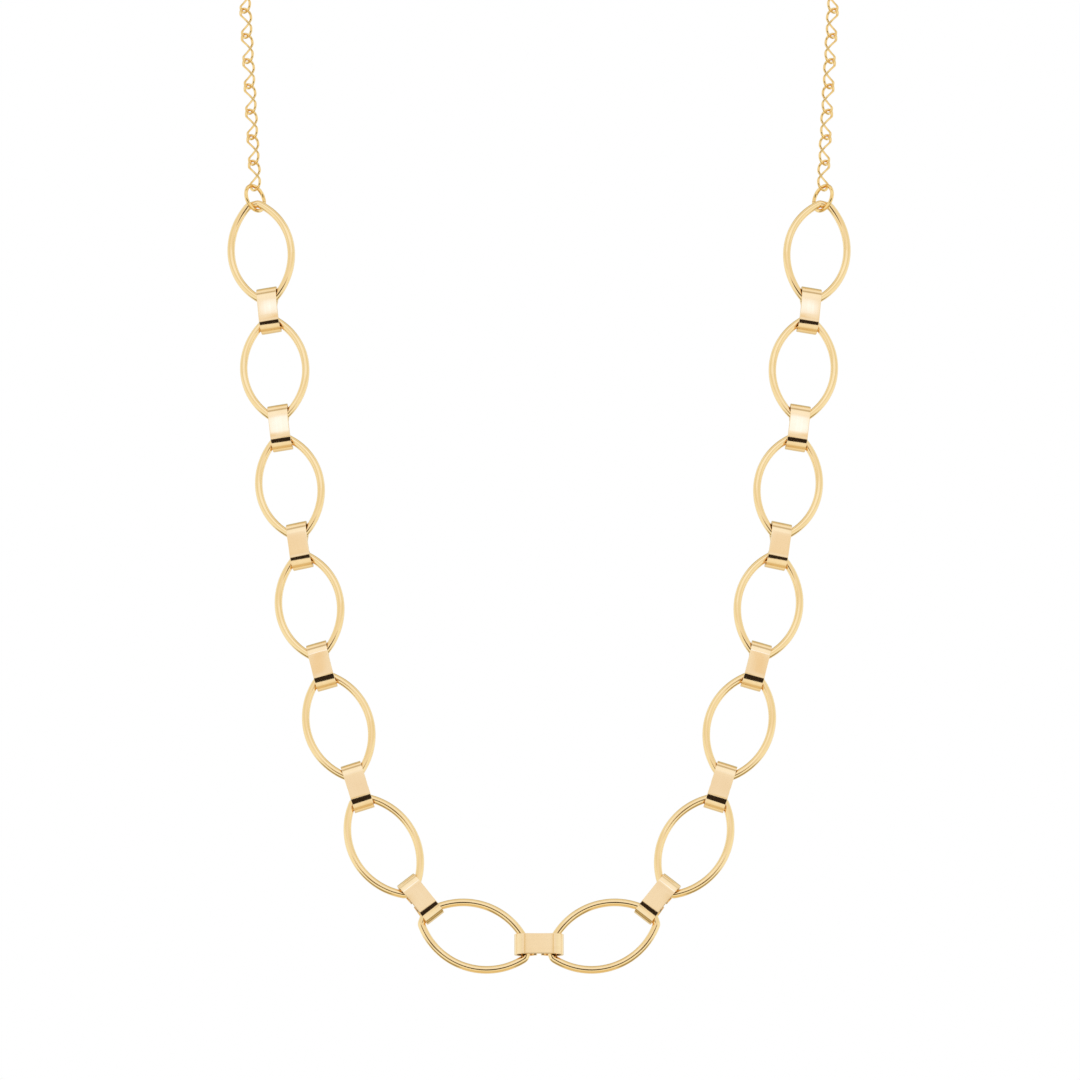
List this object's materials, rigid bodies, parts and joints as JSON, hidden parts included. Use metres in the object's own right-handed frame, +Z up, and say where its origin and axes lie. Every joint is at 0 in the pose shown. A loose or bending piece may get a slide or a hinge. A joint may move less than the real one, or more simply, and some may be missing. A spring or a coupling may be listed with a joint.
{
  "type": "choker necklace",
  "caption": "Gold-tone choker of pointed oval wire rings joined by folded strip connectors, on a fine twisted chain with a round clasp, in its worn form.",
  "frame": {"origin": "middle of the clasp's span at the nape, on the line of the chain", "axes": "+X to the wearer's left, +Y back away from the chest, +Z up; the front of the choker faces -Y"},
  "size_m": [0.0844, 0.0697, 0.1597],
  "materials": {
    "ring_gold": "polished, gold plated",
    "strip_gold": "finely brushed, gold plated",
    "chain_gold": "polished, gold plated"
  },
  "bodies": {
    "root": {"ring_left_1": "ring_gold", "ring_left_2": "ring_gold", "ring_left_3": "ring_gold", "ring_left_4": "ring_gold", "ring_left_5": "ring_gold", "ring_left_6": "ring_gold", "ring_left_7": "ring_gold", "ring_right_1": "ring_gold", "ring_right_2": "ring_gold", "ring_right_3": "ring_gold", "ring_right_4": "ring_gold", "ring_right_5": "ring_gold", "ring_right_6": "ring_gold", "ring_right_7": "ring_gold", "connector_left_1": "strip_gold", "connector_left_2": "strip_gold", "connector_left_3": "strip_gold", "connector_left_4": "strip_gold", "connector_left_5": "strip_gold", "connector_left_6": "strip_gold", "connector_right_1": "strip_gold", "connector_right_2": "strip_gold", "connector_right_3": "strip_gold", "connector_right_4": "strip_gold", "connector_right_5": "strip_gold", "connector_right_6": "strip_gold", "connector_middle": "strip_gold", "jump_ring_left": "chain_gold", "jump_ring_right": "chain_gold", "chain_left": "chain_gold", "chain_right": "chain_gold", "clasp": "chain_gold"}
  },
  "joints": []
}
